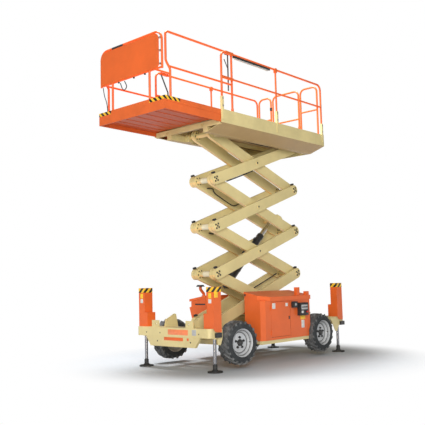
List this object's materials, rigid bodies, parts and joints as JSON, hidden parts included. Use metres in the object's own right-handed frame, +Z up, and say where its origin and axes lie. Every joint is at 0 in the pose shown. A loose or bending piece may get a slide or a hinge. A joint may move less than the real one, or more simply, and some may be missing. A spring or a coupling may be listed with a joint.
{
  "type": "scissor lift",
  "caption": "Rough-terrain scissor lift with a raised railed deck, roll-out deck extension, steered lugged wheels, crossed lift arms, lift cylinder and outrigger legs.",
  "frame": {"origin": "on the ground, at the middle of the machine's length and width", "axes": "-X towards the front with the deck extension, +Z up, Y across; the near side is -Y"},
  "size_m": [4.8654, 1.9542, 5.449],
  "materials": {
    "frame_paint": "satin cream machine paint",
    "body_paint": "gloss orange machine paint",
    "rubber_black": "matt black rubber",
    "tyre_rubber": "worn dark grey tyre rubber",
    "rim_paint": "silver grey wheel paint",
    "cylinder_black": "satin black paint",
    "chrome_rod": "hard chrome",
    "leg_chrome": "hard chrome leg",
    "engine_grey": "dark grey casting",
    "control_black": "matt black plastic"
  },
  "bodies": {
    "chassis": {"chassis_frame": "frame_paint", "front_beam": "frame_paint", "rear_beam": "frame_paint", "leg_covers": "body_paint", "near_cabinet": "body_paint", "far_cabinet": "body_paint", "filler_neck": "body_paint", "engine_block": "engine_grey", "control_boxes": "control_black", "front_axle": "frame_paint", "rear_axle": "frame_paint"},
    "door": {"cabinet_door": "body_paint"},
    "knuckle_left": {"knuckle_near": "frame_paint"},
    "knuckle_right": {"knuckle_far": "frame_paint"},
    "barrel": {"lift_barrel": "cylinder_black"},
    "stage_tube": {"lift_stage": "chrome_rod"},
    "rod": {"lift_rod": "chrome_rod"},
    "platform": {"main_deck": "frame_paint", "main_rail_far": "body_paint", "main_rail_near": "body_paint", "rear_rails": "body_paint"},
    "gate": {"gate": "body_paint"},
    "extension": {"extension_deck": "body_paint", "extension_rail_far": "body_paint", "extension_rail_near": "body_paint", "front_rail": "body_paint", "front_panel": "body_paint"},
    "outer_1": {"outer_arms_1": "frame_paint"},
    "inner_1": {"inner_arms_1": "frame_paint"},
    "outer_2": {"outer_arms_2": "frame_paint"},
    "inner_2": {"inner_arms_2": "frame_paint"},
    "outer_3": {"outer_arms_3": "frame_paint"},
    "inner_3": {"inner_arms_3": "frame_paint"},
    "outer_4": {"outer_arms_4": "frame_paint"},
    "inner_4": {"inner_arms_4": "frame_paint"},
    "wheel_front_near": {"tyre_front_near": "tyre_rubber", "rim_front_near": "rim_paint"},
    "leg_front_near": {"leg_front_near": "leg_chrome"},
    "wheel_front_far": {"tyre_front_far": "tyre_rubber", "rim_front_far": "rim_paint"},
    "leg_front_far": {"leg_front_far": "leg_chrome"},
    "wheel_rear_near": {"tyre_rear_near": "tyre_rubber", "rim_rear_near": "rim_paint"},
    "leg_rear_near": {"leg_rear_near": "leg_chrome"},
    "wheel_rear_far": {"tyre_rear_far": "tyre_rubber", "rim_rear_far": "rim_paint"},
    "leg_rear_far": {"leg_rear_far": "leg_chrome"}
  },
  "joints": [
    {"name": "lift", "type": "hinge", "parent": "chassis", "child": "outer_1", "pos_m": [-0.68035, 0, 0.743], "axis": [0, -1, 0], "range_deg": [-13.97, 45.03]},
    {"name": "centre_1", "type": "hinge", "parent": "outer_1", "child": "inner_1", "pos_m": [0.51315, 0, 1.165], "axis": [0, -1, 0], "range_deg": [-90.11, 27.99]},
    {"name": "rear_pivot_1", "type": "hinge", "parent": "outer_1", "child": "inner_2", "pos_m": [1.70665, 0, 1.587], "axis": [0, -1, 0], "range_deg": [-90.11, 27.99]},
    {"name": "centre_2", "type": "hinge", "parent": "inner_2", "child": "outer_2", "pos_m": [0.51315, 0, 2.009], "axis": [0, -1, 0], "range_deg": [-27.99, 90.11]},
    {"name": "rear_pivot_2", "type": "hinge", "parent": "outer_2", "child": "inner_3", "pos_m": [1.70665, 0, 2.431], "axis": [0, -1, 0], "range_deg": [-90.11, 27.99]},
    {"name": "centre_3", "type": "hinge", "parent": "inner_3", "child": "outer_3", "pos_m": [0.51315, 0, 2.853], "axis": [0, -1, 0], "range_deg": [-27.99, 90.11]},
    {"name": "rear_pivot_3", "type": "hinge", "parent": "outer_3", "child": "inner_4", "pos_m": [1.70665, 0, 3.275], "axis": [0, -1, 0], "range_deg": [-90.11, 27.99]},
    {"name": "centre_4", "type": "hinge", "parent": "inner_4", "child": "outer_4", "pos_m": [0.51315, 0, 3.697], "axis": [0, -1, 0], "range_deg": [-27.99, 90.11]},
    {"name": "deck_pivot", "type": "hinge", "parent": "inner_4", "child": "platform", "pos_m": [-0.68035, 0, 4.119], "axis": [0, -1, 0], "range_deg": [-14.02, 45.08]},
    {"name": "barrel_swing", "type": "hinge", "parent": "inner_1", "child": "barrel", "pos_m": [-0.14324, 0, 1.38118], "axis": [0, -1, 0], "range_deg": [-26.87, 86.51]},
    {"name": "stage_slide", "type": "slide", "parent": "barrel", "child": "stage_tube", "axis": [0.7412, 0, 0.6713], "range_m": [-0.2058, 0.6612]},
    {"name": "rod_slide", "type": "slide", "parent": "stage_tube", "child": "rod", "axis": [0.7412, 0, 0.6713], "range_m": [-0.2058, 0.6612]},
    {"name": "extension_slide", "type": "slide", "parent": "platform", "child": "extension", "axis": [1, 0, 0], "range_m": [0, 1.2]},
    {"name": "gate_hinge", "type": "hinge", "parent": "platform", "child": "gate", "pos_m": [1.95565, -0.295, 4.94437], "axis": [0, 0, 1], "range_deg": [0, 90]},
    {"name": "door_hinge", "type": "hinge", "parent": "chassis", "child": "door", "pos_m": [0.03065, -0.88, 0.8], "axis": [0, 0, -1], "range_deg": [0, 100]},
    {"name": "steer_left", "type": "hinge", "parent": "chassis", "child": "knuckle_left", "pos_m": [-0.80935, -0.6, 0.431], "axis": [0, 0, 1], "range_deg": [-17.5, 30.5]},
    {"name": "steer_right", "type": "hinge", "parent": "chassis", "child": "knuckle_right", "pos_m": [-0.80935, 0.6, 0.431], "axis": [0, 0, 1], "range_deg": [-17.6, 30.6]},
    {"name": "wheel_spin_front_near", "type": "hinge", "parent": "knuckle_left", "child": "wheel_front_near", "pos_m": [-0.84874, -0.94576, 0.431], "axis": [0.1132, 0.9936, 0], "continuous": true},
    {"name": "wheel_spin_front_far", "type": "hinge", "parent": "knuckle_right", "child": "wheel_front_far", "pos_m": [-0.76995, 0.94576, 0.431], "axis": [0.1132, 0.9936, 0], "continuous": true},
    {"name": "wheel_spin_rear_near", "type": "hinge", "parent": "chassis", "child": "wheel_rear_near", "pos_m": [1.56065, -0.948, 0.431], "axis": [0, 1, 0], "continuous": true},
    {"name": "wheel_spin_rear_far", "type": "hinge", "parent": "chassis", "child": "wheel_rear_far", "pos_m": [1.56065, 0.948, 0.431], "axis": [0, 1, 0], "continuous": true},
    {"name": "leg_slide_front_near", "type": "slide", "parent": "chassis", "child": "leg_front_near", "axis": [0, 0, 1], "range_m": [0, 0.38]},
    {"name": "leg_slide_front_far", "type": "slide", "parent": "chassis", "child": "leg_front_far", "axis": [0, 0, 1], "range_m": [0, 0.38]},
    {"name": "leg_slide_rear_near", "type": "slide", "parent": "chassis", "child": "leg_rear_near", "axis": [0, 0, 1], "range_m": [0, 0.38]},
    {"name": "leg_slide_rear_far", "type": "slide", "parent": "chassis", "child": "leg_rear_far", "axis": [0, 0, 1], "range_m": [0, 0.38]}
  ],
  "couplings": [
    {"joint": "centre_1", "follows": "lift", "ratio": -2},
    {"joint": "rear_pivot_1", "follows": "lift", "ratio": -2},
    {"joint": "centre_2", "follows": "lift", "ratio": 2},
    {"joint": "rear_pivot_2", "follows": "lift", "ratio": -2},
    {"joint": "centre_3", "follows": "lift", "ratio": 2},
    {"joint": "rear_pivot_3", "follows": "lift", "ratio": -2},
    {"joint": "centre_4", "follows": "lift", "ratio": 2},
    {"joint": "deck_pivot", "follows": "lift", "ratio": 1},
    {"joint": "barrel_swing", "follows": "lift", "ratio": 1.92},
    {"joint": "stage_slide", "follows": "lift", "m_per_rad": 0.84},
    {"joint": "rod_slide", "follows": "lift", "m_per_rad": 0.84},
    {"joint": "steer_right", "follows": "steer_left", "ratio": 1}
  ]
}
